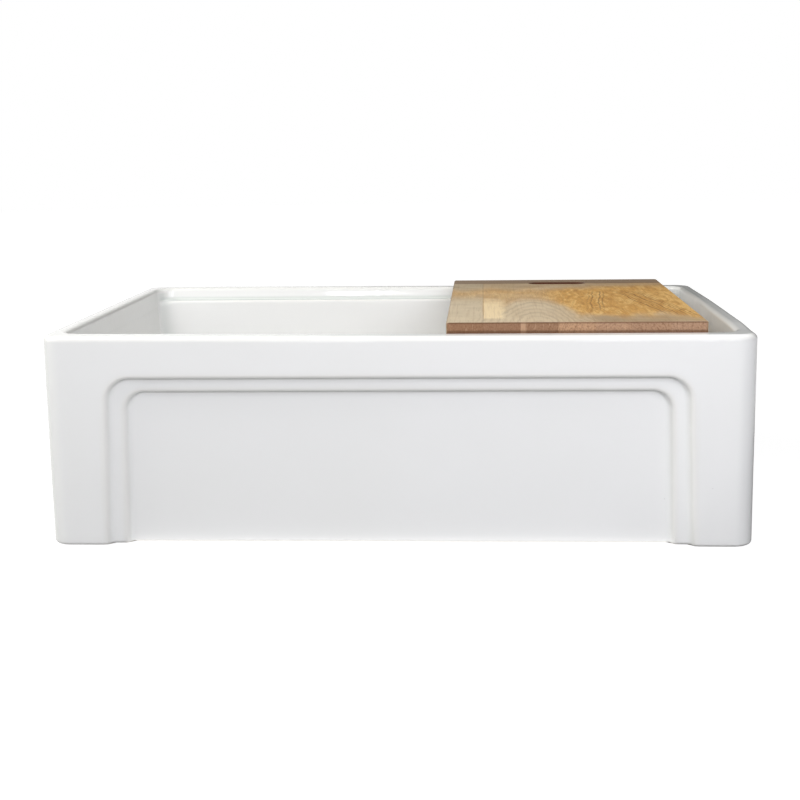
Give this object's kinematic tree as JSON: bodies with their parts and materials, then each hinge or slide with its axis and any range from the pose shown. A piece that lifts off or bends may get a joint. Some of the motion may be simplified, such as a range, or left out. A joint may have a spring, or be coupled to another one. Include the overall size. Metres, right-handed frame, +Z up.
{
  "type": "apron-front kitchen sink",
  "caption": "White glazed fireclay sink with a stepped apron panel, a single bowl with board ledges, a lift-out basket strainer and a sliding wooden cutting board.",
  "frame": {"origin": "centre of the base's underside, in the plane that stands on the cabinet's support", "axes": "+Z up, -Y out of the apron front, +X to the right of a person standing at the sink"},
  "size_m": [0.838, 0.508, 0.3211],
  "materials": {
    "fireclay_glaze": "white gloss glaze over fired clay",
    "board_wood": "oiled hardwood",
    "stainless_steel": "polished stainless steel",
    "nut_brass": "cast brass",
    "black_rubber": "moulded black rubber",
    "putty": "plumber's putty",
    "fibre": "pressed fibre"
  },
  "bodies": {
    "root": {"basin": "fireclay_glaze", "strainer_body": "stainless_steel", "flange_seal": "putty", "sink_gasket": "black_rubber", "friction_washer": "fibre", "locknut": "nut_brass", "outlet_bridge": "stainless_steel"},
    "board": {"board_stave_1": "board_wood", "board_stave_2": "board_wood", "board_stave_3": "board_wood", "board_stave_4": "board_wood", "board_stave_5": "board_wood", "board_stave_6": "board_wood", "board_stave_7": "board_wood", "board_end_batten": "board_wood", "board_splines": "board_wood"},
    "basket": {"basket_cup": "stainless_steel", "basket_knob": "stainless_steel", "basket_stopper": "black_rubber", "stopper_retainer": "stainless_steel", "post_clip": "stainless_steel"}
  },
  "joints": [
    {"name": "board_slide", "type": "slide", "parent": "root", "child": "board", "axis": [1, 0, 0], "range_m": [-0.4455, 0.0225]},
    {"name": "basket_lift", "type": "slide", "parent": "root", "child": "basket", "axis": [0, 0, 1], "range_m": [0, 0.11]}
  ]
}
